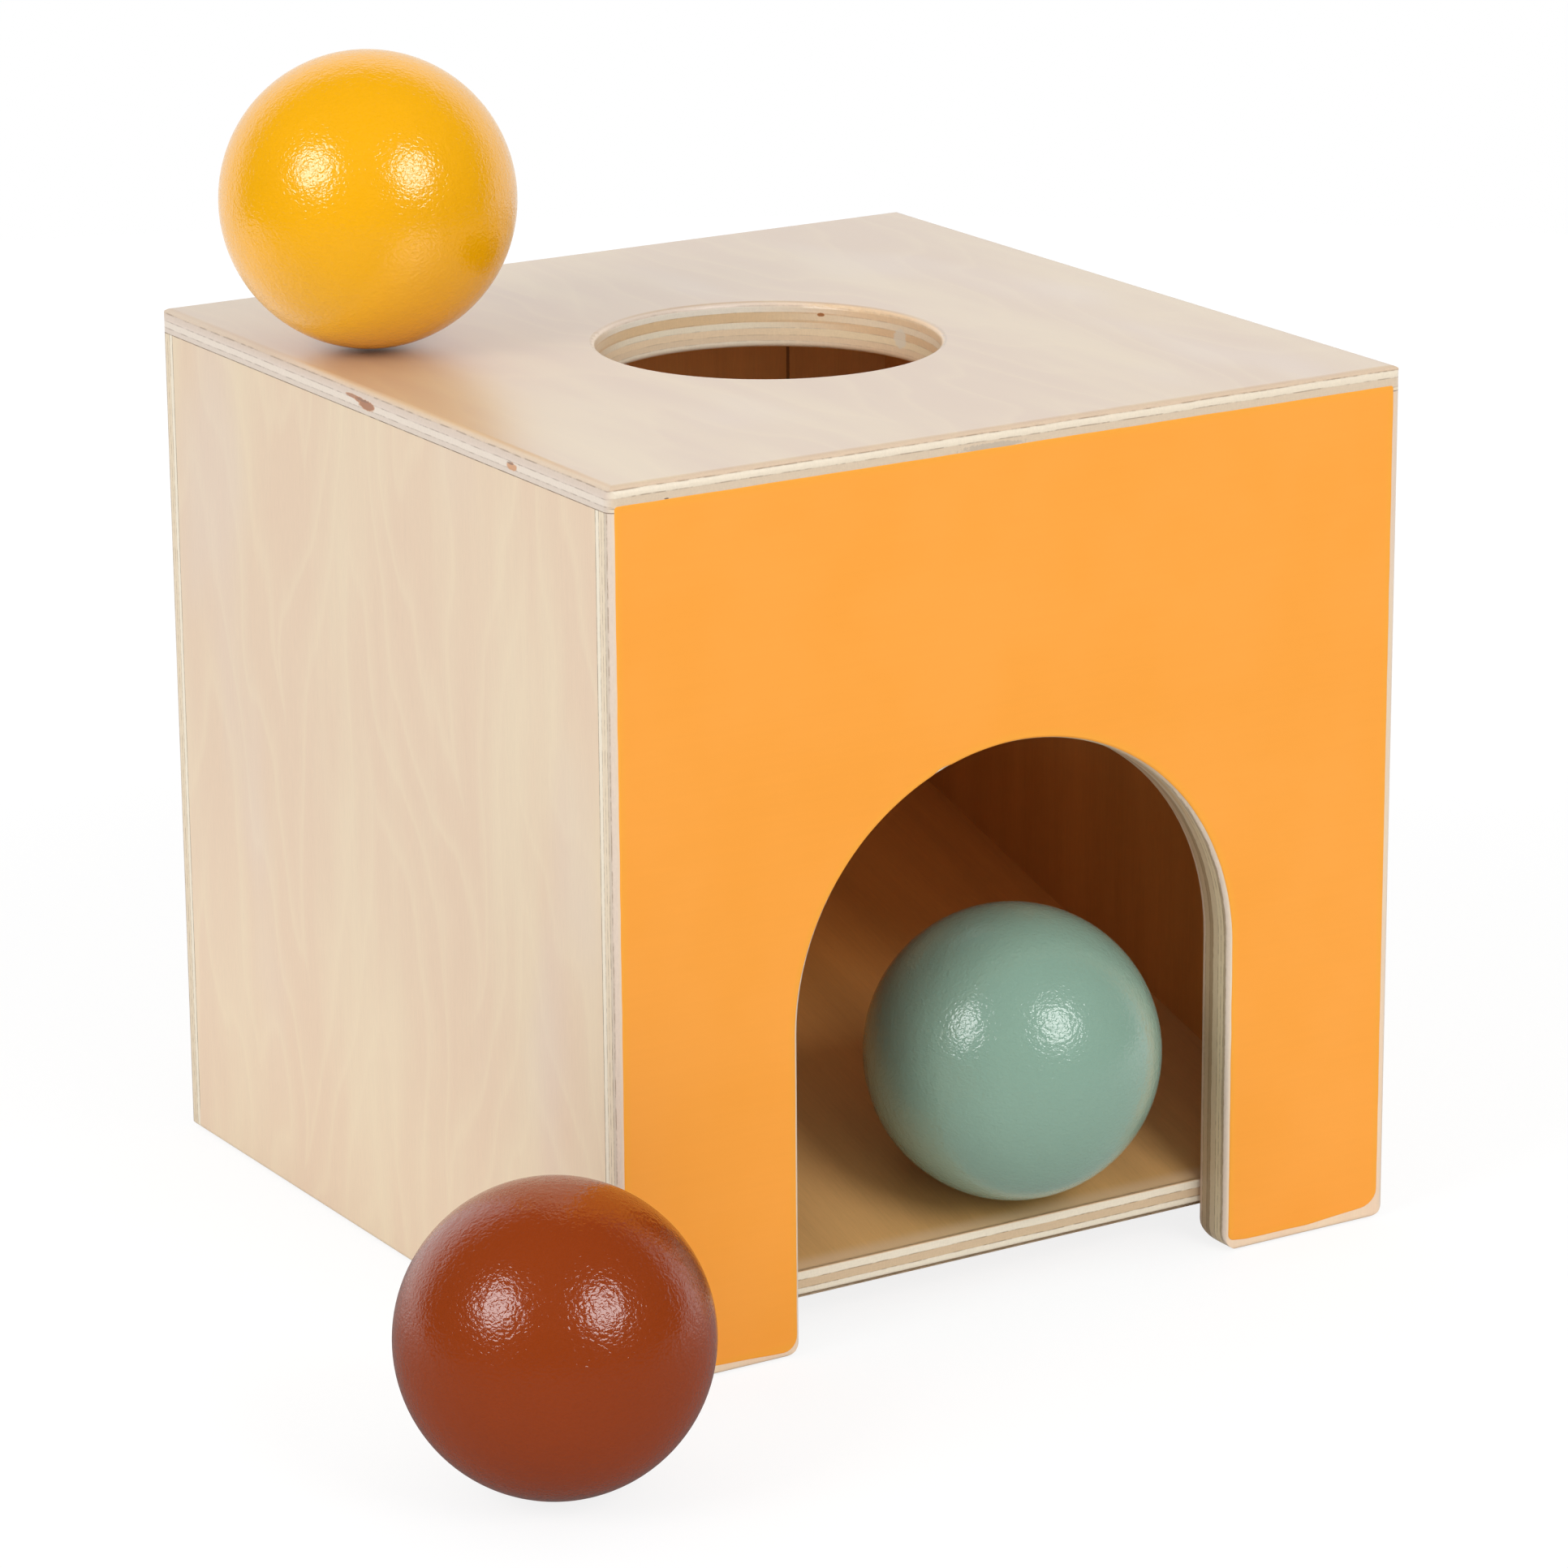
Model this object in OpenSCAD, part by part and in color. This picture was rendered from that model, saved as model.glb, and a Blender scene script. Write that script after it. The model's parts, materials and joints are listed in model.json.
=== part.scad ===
// Object permanence box: a plywood cube with a round hole in its top, a ramp inside and an arched mouth in
// its painted front, and three wooden balls. The boards are rebated to half their thickness at the edges,
// so a strip of edge plies shows where one board laps over the next.

/* [Box] */
// Width of the box, left to right
box_w = 140; // [124:1:170]
// Depth of the box, front to back
box_d = 142; // [124:1:170]
// Height of the box
box_h = 138; // [124:1:170]
// Thickness of the plywood boards
ply_t = 7.5; // [6:0.1:9]
// Thickness that a rebate leaves at a board's edge
lip_t = 3.75; // [2.5:0.05:4.5]
// Rounding of the box's upper and upright edges
arris_r = 1.5; // [0.6:0.1:2]
// Rounding of the boards' bottom edges, apart from the outer one at the back
foot_r = 0.8; // [0.4:0.1:1.5]
// Rounding of the outer bottom edge at the back
foot_back_r = 2.2; // [0.8:0.1:3]

/* [Hole] */
// Diameter of the hole in the top
hole_d = 54; // [50:0.5:60]
// How far the hole's centre lies in front of the top's middle
hole_ahead = 2; // [0:0.5:6]
// How far the hole's centre lies left of the top's middle
hole_left = 1; // [0:0.5:4]
// Rounding of the hole's rims
hole_edge_r = 0.9; // [0.4:0.1:1.2]

/* [Arch] */
// Width of the arch in the front
arch_w = 78; // [60:1:88]
// Height of the arch's crown above the ground
arch_h = 89.5; // [78:0.5:98]
// Rounding of the arch's edges
arch_edge_r = 1; // [0.4:0.1:1.2]
// Rounding of the legs' lower corners beside the arch
leg_in_r = 3; // [1:0.1:3.5]
// Rounding of the legs' lower outer corners
leg_out_r = 3.2; // [1:0.1:3.5]
// Rounding of the legs' lower edge at the back
leg_back_r = 6; // [2:0.1:6.5]

/* [Ramp] */
// Thickness of the ramp's board
ramp_t = 4; // [3:0.1:5]
// Height of the ramp's front edge above the ground
ramp_z = 9.8; // [7:0.1:14]
// Slope of the ramp in degrees, falling to the front
ramp_slope = 16.2; // [12:0.1:18]
// Gap between the ramp's front edge and the front board
ramp_gap = 0.3; // [0.2:0.05:0.6]
// Rounding of the ramp's front edges
ramp_edge_r = 0.6; // [0.2:0.1:0.8]

/* [Balls] */
// Diameter of each ball
ball_d = 46; // [45:0.5:48]
// Gap between a ball and the board that it lies on
ball_gap = 0.3; // [0.2:0.05:0.5]
// Distance of the yellow ball's centre from the box's left face
yellow_in = 14.7; // [8:0.1:30]
// Distance of the yellow ball's centre from the box's back face
yellow_from_back = 44; // [20:0.5:70]
// How far the green ball's centre lies right of the arch's middle
green_right = 7.6; // [0:0.1:12]
// Distance of the green ball's centre behind the box's front face
green_in = 13; // [8:0.1:20]
// Distance of the brown ball's centre outside the box's left face
brown_out = 24.8; // [20:0.1:40]
// Distance of the brown ball's centre ahead of the box's front face
brown_ahead = 24.2; // [20:0.1:40]

/* [Hidden] */
$fn = 96;
overrun = 1;

wall_h = box_h - lip_t;
inner_w = box_w - 2 * ply_t;
inner_d = box_d - 2 * ply_t;

hole_r = hole_d / 2;
hole_x = box_w / 2 - hole_left;
hole_y = box_d / 2 - hole_ahead;

arch_r = arch_w / 2;
arch_x = box_w / 2;
arch_spring_z = arch_h - arch_r;

ramp_y = ply_t + ramp_gap;
ramp_end_y = box_d - ply_t;
ramp_rise = (ramp_end_y - ramp_y) * tan(ramp_slope);
ramp_h = ramp_t / cos(ramp_slope);

ball_r = ball_d / 2;
yellow_pos = [yellow_in, box_d - yellow_from_back, box_h + ball_gap + ball_r];
green_rise = (green_in - ramp_y) * tan(ramp_slope) + (ball_r + ball_gap) / cos(ramp_slope);
green_pos = [arch_x + green_right, green_in, ramp_z + green_rise];
brown_pos = [-brown_out, -brown_ahead, ball_r];

// The origin lies on the ground, in the middle of the ground plan of the box and its balls
plan_lo_x = min(0, yellow_pos.x - ball_r, brown_pos.x - ball_r);
plan_lo_y = min(0, brown_pos.y - ball_r, green_pos.y - ball_r);
origin_x = (plan_lo_x + box_w) / 2;
origin_y = (plan_lo_y + box_d) / 2;

// Moves what is measured from the box's front left corner into the part's own frame
module placed() {
    translate([-origin_x, -origin_y, 0]) children();
}

// What rounding takes off a square corner at the origin, whose solid lies towards +x and +y
module corner_waste(r) {
    difference() {
        translate([-overrun, -overrun]) square(r + overrun);
        translate([r, r]) circle(r);
    }
}

// A rectangle from the origin, with its corners rounded by radii in the order low left, low right, top right,
// top left, where 0 keeps a corner sharp
module board_outline(w, h, radii) {
    difference() {
        square([w, h]);
        if (radii[0] > 0) corner_waste(radii[0]);
        if (radii[1] > 0) translate([w, 0]) mirror([1, 0]) corner_waste(radii[1]);
        if (radii[2] > 0) translate([w, h]) rotate(180) corner_waste(radii[2]);
        if (radii[3] > 0) translate([0, h]) mirror([0, 1]) corner_waste(radii[3]);
    }
}

// Extrudes an outline drawn in x and z along +y, by length d
module along_y(d) {
    translate([0, d, 0]) rotate([90, 0, 0]) linear_extrude(d) children();
}

// Extrudes an outline drawn in y and z along +x, by length w
module along_x(w) {
    rotate([90, 0, 90]) linear_extrude(w) children();
}

// The ring that rounds a hole's rim, for a board that lies below z = 0
module rim_waste(r, edge_r) {
    rotate_extrude()
        difference() {
            translate([r - overrun, -edge_r]) square([edge_r + overrun, edge_r + overrun]);
            translate([r + edge_r, -edge_r]) circle(edge_r);
        }
}

module top_panel() {
    color([0.93, 0.85, 0.74]) placed()
    difference() {
        union() {
            intersection() {
                translate([0, 0, wall_h])
                    linear_extrude(lip_t)
                        board_outline(box_w, box_d, [arris_r, arris_r, arris_r, arris_r]);
                along_y(box_d) board_outline(box_w, box_h, [0, 0, arris_r, arris_r]);
                along_x(box_w) board_outline(box_d, box_h, [0, 0, arris_r, arris_r]);
            }
            translate([ply_t, ply_t, box_h - ply_t]) cube([inner_w, inner_d, ply_t - lip_t]);
        }
        translate([hole_x, hole_y, box_h - ply_t - overrun]) cylinder(h = ply_t + 2 * overrun, r = hole_r);
        translate([hole_x, hole_y, box_h]) rim_waste(hole_r, hole_edge_r);
        translate([hole_x, hole_y, box_h - ply_t]) mirror([0, 0, 1]) rim_waste(hole_r, hole_edge_r);
    }
}

// Plan of a front or back board: its outer half laps over the side boards, its inner half fits between them
module lapped_plan() {
    board_outline(box_w, lip_t, [arris_r, arris_r, 0, 0]);
    translate([ply_t, 0]) square([inner_w, ply_t]);
}

// A front or back board without its arch, standing with its outer face in y = 0. Its lower corners are rounded
// by corner_r, and its outer lower edge by edge_r
module lapped_board(corner_r, edge_r) {
    intersection() {
        linear_extrude(wall_h) lapped_plan();
        along_y(ply_t) board_outline(box_w, wall_h, [corner_r, corner_r, 0, 0]);
        along_x(box_w) board_outline(ply_t, wall_h, [edge_r, foot_r, 0, 0]);
    }
}

// The arch's outline, about its middle line, with the legs' inner lower corners flared by their rounding
module arch_outline() {
    translate([0, arch_spring_z]) circle(arch_r);
    translate([-arch_r, -overrun]) square([arch_w, arch_spring_z + overrun]);
    for (side = [-1, 1])
        translate([side * arch_r, 0]) scale([side, 1])
            difference() {
                translate([-overrun, -overrun]) square(leg_in_r + overrun);
                translate([leg_in_r, leg_in_r]) circle(leg_in_r);
            }
}

// What rounds the arch's edge on the face in y = 0 of a board that lies behind it
module arch_edge_waste() {
    translate([0, 0, arch_spring_z]) {
        rotate([90, 0, 0]) rotate_extrude(angle = 180) arch_edge_profile();
        for (side = [0, 1])
            mirror([side, 0, 0])
                translate([0, 0, -arch_spring_z - overrun])
                    linear_extrude(arch_spring_z + overrun) mirror([0, 1]) arch_edge_profile();
    }
}

// Section of the waste at the arch's edge: x runs outwards from the arch's middle, -y into the board
module arch_edge_profile() {
    difference() {
        translate([arch_r - overrun, -arch_edge_r]) square([arch_edge_r + overrun, arch_edge_r + overrun]);
        translate([arch_r + arch_edge_r, -arch_edge_r]) circle(arch_edge_r);
    }
}

module front_panel() {
    color([1, 0.68, 0.28]) placed()
    difference() {
        lapped_board(leg_out_r, foot_r);
        translate([arch_x, -overrun, 0]) along_y(ply_t + 2 * overrun) arch_outline();
        translate([arch_x, 0, 0]) arch_edge_waste();
        translate([arch_x, ply_t, 0]) mirror([0, 1, 0]) arch_edge_waste();
        translate([ply_t, ply_t, 0]) along_x(inner_w) mirror([1, 0]) corner_waste(leg_back_r);
    }
}

module back_panel() {
    color([0.9, 0.8, 0.68]) placed()
    translate([0, box_d, 0]) mirror([0, 1, 0]) lapped_board(foot_r, foot_back_r);
}

// A side board, standing with its outer face in x = 0, between the front's and the back's laps
module side_board() {
    translate([0, lip_t, 0])
        along_y(box_d - 2 * lip_t) board_outline(ply_t, wall_h, [foot_r, foot_r, 0, 0]);
}

module left_panel() {
    color([0.91, 0.82, 0.7]) placed() side_board();
}

module right_panel() {
    color([0.89, 0.79, 0.67]) placed()
    translate([box_w, 0, 0]) mirror([1, 0, 0]) side_board();
}

// What rounds the ramp's front edge at height z, where side is 1 for its upper edge and -1 for its lower one
module ramp_edge_waste(z, side) {
    middle = [ramp_y + ramp_edge_r, z + ramp_edge_r * (tan(ramp_slope) - side / cos(ramp_slope))];
    touch = middle + side * ramp_edge_r * [-sin(ramp_slope), cos(ramp_slope)];
    difference() {
        polygon([[ramp_y, z], [ramp_y, middle.y], middle, touch]);
        translate(middle) circle(ramp_edge_r);
    }
}

// The ramp is glued between the side boards. Both its ends are cut plumb
module ramp_panel() {
    color([0.8, 0.66, 0.48]) placed()
    translate([ply_t, 0, 0])
        along_x(inner_w)
            difference() {
                polygon([
                    [ramp_y, ramp_z - ramp_h],
                    [ramp_end_y, ramp_z - ramp_h + ramp_rise],
                    [ramp_end_y, ramp_z + ramp_rise],
                    [ramp_y, ramp_z]
                ]);
                ramp_edge_waste(ramp_z, 1);
                ramp_edge_waste(ramp_z - ramp_h, -1);
            }
}

module ball(pos) {
    translate(pos) sphere(ball_r);
}

module yellow_ball() {
    color([0.95, 0.68, 0.1]) placed() ball(yellow_pos);
}

module green_ball() {
    color([0.52, 0.66, 0.6]) placed() ball(green_pos);
}

module brown_ball() {
    color([0.56, 0.25, 0.12]) placed() ball(brown_pos);
}

top_panel();
front_panel();
back_panel();
left_panel();
right_panel();
ramp_panel();
yellow_ball();
green_ball();
brown_ball();
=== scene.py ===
"""Object permanence box: a plywood cube with a round hole in its top, a ramp inside, an arched mouth in
its orange front, and three painted wooden balls. Every CAD node stays as it is and gets a material. The
orange coat is a thin film of its own on the front."""

import json
import math
from collections import namedtuple

import bmesh
import bpy
from mathutils import Matrix, Vector, noise


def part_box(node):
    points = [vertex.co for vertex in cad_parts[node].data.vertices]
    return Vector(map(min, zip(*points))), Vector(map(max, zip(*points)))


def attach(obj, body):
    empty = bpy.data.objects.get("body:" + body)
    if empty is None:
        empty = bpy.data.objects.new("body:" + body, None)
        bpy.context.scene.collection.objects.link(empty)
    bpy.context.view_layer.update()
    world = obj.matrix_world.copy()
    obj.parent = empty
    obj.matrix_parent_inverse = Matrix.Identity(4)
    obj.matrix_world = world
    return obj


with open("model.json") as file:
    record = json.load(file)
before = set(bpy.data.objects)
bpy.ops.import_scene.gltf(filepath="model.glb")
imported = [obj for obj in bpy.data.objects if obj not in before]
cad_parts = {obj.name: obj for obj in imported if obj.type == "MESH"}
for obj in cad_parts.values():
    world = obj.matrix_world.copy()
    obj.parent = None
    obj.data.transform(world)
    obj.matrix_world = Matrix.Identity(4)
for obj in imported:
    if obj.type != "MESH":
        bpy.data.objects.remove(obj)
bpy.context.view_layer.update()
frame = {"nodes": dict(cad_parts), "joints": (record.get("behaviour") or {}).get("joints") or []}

MM = 0.001
TINY = 1e-6

# A noise pattern: its cells per unit of length along each axis, and its other settings
Pattern = namedtuple("Pattern", "scales detail roughness distortion", defaults=(2.0, 0.5, 0.0))

# Measures in millimetres, taken from the frame. They start at the box's front left corner on the ground
lid_low, lid_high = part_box("top_panel")
CORNER = Vector((lid_low.x, lid_low.y, 0.0))
BOX_W = (lid_high.x - lid_low.x) / MM
BOX_D = (lid_high.y - lid_low.y) / MM
BOX_H = lid_high.z / MM
WALL_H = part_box("left_panel")[1].z / MM
LIP_T = BOX_H - WALL_H
RAMP_TOP = (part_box("ramp_panel")[1] - CORNER) / MM
RAMP_FRONT_Y = (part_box("ramp_panel")[0] - CORNER).y / MM

# The roundings of the front's upright edges and of the arch's edge, as in the CAD model
ARRIS_R = 1.5
ARCH_EDGE_R = 1.0

# The camera of the photograph, in millimetres from the box's corner, and in degrees
CAMERA_AT = (-424.5, -735.9, 350.5)
CAMERA_AZIMUTH = 31.63
CAMERA_PITCH = 16.79
CAMERA_ROLL = -0.43
CAMERA_SENSOR = 36.0
CAMERA_LENS = 142.4
CAMERA_NEAR_M = 0.01

# Two round softboxes beside the camera: metres, watts and degrees, turned from the camera to the right
SOFTBOX_SIZE = 0.56
SOFTBOX_AWAY = 1.3
SOFTBOX_POWER = 4.8
SOFTBOX_ELEVATION = 32.0
SOFTBOX_TURNS = (-45.5, 40.0)

# The surrounding: the strength of its light from below and from above, the heights of the directions between
# which that changes, its strength in mirrors on the camera's side, and the shares of a direction towards the
# camera between which it falls from white to that
AMBIENT_LOW = 0.5
AMBIENT_HIGH = 0.77
AMBIENT_HEIGHTS = (-0.3, 0.9)
MIRROR_FRONT = 0.02
MIRROR_TURN = (-0.62, -0.2)

# The floor, in metres, and its paint
FLOOR_R = 0.8
FLOOR_SEGMENTS = 96
FLOOR_DROP = 0.0002
FLOOR_COLOUR = (0.9, 0.9, 0.9)
FLOOR_ROUGHNESS = 0.9
FLOOR_MOTTLE = Pattern((30.0, 30.0, 30.0), 3.0)
FLOOR_MOTTLE_SHADE = 0.02

# Its white glow to the camera: the strength, the share of it near the object, and the distances from the
# middle between which that share grows to all
FLOOR_GLOW = 1.05
FLOOR_WHITE = 0.8
FLOOR_WHITE_FADE = (0.2, 0.48)

# Its glow in mirrors: the strength in front of the object, the distances behind the middle between which it
# grows to white, how much of it shows near the object, and the distances between which that grows to all
FLOOR_MIRROR = 0.12
FLOOR_MIRROR_TURN = (-0.2, 0.15)
FLOOR_MIRROR_NEAR = 0.5
FLOOR_MIRROR_FADE = (0.05, 0.3)


def linear(r, g, b):
    """A colour seen on screen, in 0 to 255, as the linear colour that nodes use."""
    def one(value):
        value /= 255.0
        return value / 12.92 if value <= 0.04045 else ((value + 0.055) / 1.055) ** 2.4
    return (one(r), one(g), one(b), 1.0)


# Wood colours
FACE_PALE = linear(233, 214, 184)
FACE_PINK = linear(229, 203, 176)
FACE_GREY = linear(226, 208, 194)
LID_PALE = linear(225, 202, 168)
LID_PINK = linear(215, 187, 160)
WHITE_PLY = linear(240, 229, 208)
CREAM_PLY = linear(232, 215, 188)
PINK_PLY = linear(224, 206, 188)
GREY_PLY = linear(214, 199, 180)
TAN_PLY = linear(217, 191, 158)
AMBER_PLY = linear(224, 190, 145)
BROWN_PLY = linear(172, 147, 115)
GLUE = linear(136, 104, 76)
JOINT = linear(104, 74, 50)
KNOT = linear(206, 134, 60)
KNOT_HEART = linear(168, 98, 34)
CRACK = linear(86, 50, 24)
SMUDGE = linear(172, 160, 146)
# The inner faces' colours, warmer and darker than the outer wood: partly the inner veneer's own tone, partly
# painted warm shade of the box's inside. The second colour of the walls and of the ramp is painted shade for
# the places further from the openings
INNER_FACE = linear(244, 190, 120)
INNER_PAINTED_SHADE = linear(208, 143, 74)
RAMP_FACE = linear(217, 170, 109)
RAMP_PAINTED_SHADE = linear(222, 154, 80)
RAMP_WORN = linear(226, 194, 154)

# Paint colours
ORANGE = linear(253, 166, 60)
ORANGE_DEEP = linear(251, 163, 53)
ORANGE_THIN = linear(248, 168, 52)
MUSTARD = linear(247, 177, 0)
SAGE = linear(135, 167, 150)
RUST = linear(142, 56, 12)


class Shader:
    """Writes the nodes of a material or world. An input is a socket, a number or a tuple."""

    def __init__(self, owner):
        self.owner = owner
        owner.use_nodes = True
        self.tree = owner.node_tree
        self.surface = self.tree.nodes.get("Principled BSDF")

    def node(self, kind, inputs=(), **settings):
        made = self.tree.nodes.new("ShaderNode" + kind)
        for key, setting in settings.items():
            setattr(made, key, setting)
        pairs = inputs.items() if isinstance(inputs, dict) else enumerate(inputs)
        for place, given in pairs:
            self.feed(made.inputs[place], given)
        return made

    def feed(self, socket, given):
        if isinstance(given, bpy.types.NodeSocket):
            self.tree.links.new(given, socket)
        else:
            socket.default_value = given

    def math(self, operation, *values):
        return self.node("Math", values, operation=operation).outputs[0]

    def vector_math(self, operation, *values):
        made = self.node("VectorMath", values, operation=operation)
        scalar = operation in ("DOT_PRODUCT", "LENGTH")
        return made.outputs["Value" if scalar else "Vector"]

    def dot(self, vector, direction):
        return self.vector_math("DOT_PRODUCT", vector, tuple(direction))

    def combine(self, x, y, z):
        return self.node("CombineXYZ", (x, y, z)).outputs[0]

    def parts(self, vector):
        return self.node("SeparateXYZ", (vector,)).outputs

    def least(self, first, *others):
        for other in others:
            first = self.math("MINIMUM", first, other)
        return first

    def band(self, x, low, high, to_low=0.0, to_high=1.0):
        """Goes smoothly from to_low to to_high while x goes from low to high."""
        made = self.node("MapRange", (x, low, high, to_low, to_high), interpolation_type="SMOOTHSTEP")
        return made.outputs[0]

    def between(self, low, high, share):
        """low where the share is 0, and high where it is 1."""
        return self.math("MULTIPLY_ADD", share, self.math("SUBTRACT", high, low), low)

    def varied(self, base, noise_value, amount):
        """The base, and more or less where the noise is above or below its middle."""
        off_middle = self.math("SUBTRACT", noise_value, 0.5)
        return self.math("MULTIPLY_ADD", off_middle, amount, base)

    def noise(self, vector, detail, roughness, distortion=0.0):
        inputs = {
            "Vector": vector,
            "Scale": 1.0,
            "Detail": detail,
            "Roughness": roughness,
            "Distortion": distortion,
        }
        return self.node("TexNoise", inputs).outputs[0]

    def pattern(self, place, pattern, shift=0.0):
        """The value of a noise pattern at a place."""
        scales, detail, roughness, distortion = pattern
        scaled = self.vector_math("MULTIPLY", place, scales)
        moved = self.vector_math("ADD", scaled, (shift, shift, shift))
        return self.noise(moved, detail, roughness, distortion)

    def ramp(self, x, stops, interpolation="LINEAR"):
        made = self.node("ValToRGB", (x,))
        made.color_ramp.interpolation = interpolation
        elements = made.color_ramp.elements
        while len(elements) < len(stops):
            elements.new(1.0)
        for element, (place, colour) in zip(elements, stops):
            element.position = place
            element.color = colour if hasattr(colour, "__len__") else (colour, colour, colour, 1.0)
        return made.outputs["Color"]

    def mix(self, factor, a, b):
        return self.node("Mix", {0: factor, 6: a, 7: b}, data_type="RGBA").outputs[2]

    def scaled(self, colour, factor):
        """The colour times a number."""
        if not isinstance(colour, bpy.types.NodeSocket):
            colour = colour[:3]
        return self.vector_math("MULTIPLY", colour, self.combine(factor, factor, factor))

    def bump(self, height, strength, distance):
        inputs = {"Height": height, "Strength": strength, "Distance": distance}
        return self.node("Bump", inputs).outputs["Normal"]

    def place(self):
        """The point in millimetres from the box's corner, which stays with its body."""
        coordinates = self.node("TexCoord").outputs["Object"]
        moved = self.vector_math("SUBTRACT", coordinates, tuple(CORNER))
        return self.vector_math("MULTIPLY", moved, (1 / MM, 1 / MM, 1 / MM))

    def rays(self):
        """1 for the rays that the camera sends, and 1 for those that gloss and glass send."""
        path = self.node("LightPath").outputs
        mirrored = self.math("MAXIMUM", path["Is Glossy Ray"], path["Is Transmission Ray"])
        return path["Is Camera Ray"], mirrored

    def varnish(self, weight, roughness):
        """A clear coat, as the shader's own values."""
        self.surface.inputs["Coat Weight"].default_value = weight
        self.surface.inputs["Coat Roughness"].default_value = roughness

    def finish(self, colour, roughness, normal, gloss):
        """Completes the material, with its gloss as the shader's own specular level."""
        self.feed(self.surface.inputs["Base Color"], colour)
        self.feed(self.surface.inputs["Roughness"], roughness)
        self.feed(self.surface.inputs["Normal"], normal)
        self.surface.inputs["Specular IOR Level"].default_value = gloss
        return self.owner


def new_material(name):
    return Shader(bpy.data.materials.new(name))


# Plies that show where a board is cut, each as (depth in millimetres where it ends, colour), for a cut along
# the board's face grain and for one across it
LID_ALONG = (
    (0.7, linear(227, 205, 180)),
    (1.85, linear(224, 205, 188)),
    (2.95, linear(232, 217, 200)),
    (4.2, linear(220, 203, 186)),
    (5.4, CREAM_PLY),
    (6.4, PINK_PLY),
    (7.5, CREAM_PLY),
)
LID_ACROSS = (
    (0.62, linear(224, 198, 170)),
    (1.7, linear(236, 222, 199)),
    (3.2, linear(222, 201, 174)),
    (4.25, CREAM_PLY),
    (5.4, AMBER_PLY),
    (6.35, GREY_PLY),
    (7.5, WHITE_PLY),
)
WALL_ALONG = (
    (0.85, PINK_PLY),
    (1.35, GREY_PLY),
    (2.1, CREAM_PLY),
    (2.85, CREAM_PLY),
    (4.2, WHITE_PLY),
    (5.0, TAN_PLY),
    (6.2, CREAM_PLY),
    (7.5, PINK_PLY),
)
WALL_ACROSS = (
    (0.8, TAN_PLY),
    (1.95, WHITE_PLY),
    (3.15, AMBER_PLY),
    (4.3, WHITE_PLY),
    (5.4, TAN_PLY),
    (6.5, CREAM_PLY),
    (7.5, TAN_PLY),
)
# The plies in the lid's round hole: made brighter and warmer than the lid's outer cuts, as painted light on
# the hole's wall
HOLE_ALONG_PAINTED_LIGHT = (
    (0.7, linear(250, 218, 178)),
    (1.85, linear(246, 214, 174)),
    (2.95, linear(250, 230, 200)),
    (4.2, linear(240, 205, 162)),
    (5.4, linear(250, 228, 190)),
    (6.4, linear(242, 214, 178)),
    (7.5, linear(236, 206, 172)),
)
HOLE_ACROSS_PAINTED_LIGHT = (
    (0.75, linear(240, 222, 204)),
    (1.65, linear(250, 243, 226)),
    (3.3, linear(236, 206, 162)),
    (4.3, linear(250, 240, 215)),
    (5.4, linear(248, 225, 190)),
    (6.3, linear(240, 218, 186)),
    (7.5, linear(248, 236, 212)),
)
JAMB_ALONG = (
    (0.85, PINK_PLY),
    (1.3, linear(190, 169, 141)),
    (2.8, linear(226, 207, 172)),
    (4.2, linear(214, 193, 160)),
    (5.1, BROWN_PLY),
    (6.2, linear(192, 165, 132)),
    (7.5, linear(212, 185, 160)),
)
RAMP_PLIES = (
    (1.35, WHITE_PLY),
    (2.65, TAN_PLY),
    (4.0, WHITE_PLY),
)

# The plies in the round hole of the lid, brighter than the lid's outer cuts as painted light, and beside the
# arch, how strong their glue lines are, and how far the board's outer edges must be for them to show
Opening = namedtuple("Opening", "along across glue")
OPENINGS = {
    "top_panel": Opening(HOLE_ALONG_PAINTED_LIGHT, HOLE_ACROSS_PAINTED_LIGHT, 0.4),
    "front_panel": Opening(JAMB_ALONG, WALL_ACROSS, 1.0),
}
OPENING_FROM_EDGE = (8.0, 20.0)

# A board: a point on its outer face, the directions into it and along its face grain, its plies, its outer
# face's two colours, its inner face's colours at two heights, the one further from the openings a painted
# shade, how strong its figure is, how much painted light brightens its foot, the seed of its noise, and its
# gloss and varnish. The ramp has no face colours of its own: both its faces look like an inner one
Board = namedtuple("Board", "outer inward grain along across pale pink inside figure foot seed gloss varnish")

# The ramp falls the way that the green ball rolls
ROLL = Vector(next(joint["axis"] for joint in frame["joints"] if joint["name"] == "green_roll"))
UP_RAMP = tuple(-ROLL)
INTO_RAMP = (0.0, -ROLL.z, ROLL.y)
# The inner faces' colours at two heights in millimetres: painted shade low on the walls and high on the ramp,
# further from the openings
WALL_INSIDE = ((50.0, INNER_PAINTED_SHADE), (100.0, INNER_FACE))
RAMP_INSIDE = ((17.0, RAMP_FACE), (34.0, RAMP_PAINTED_SHADE))

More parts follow.
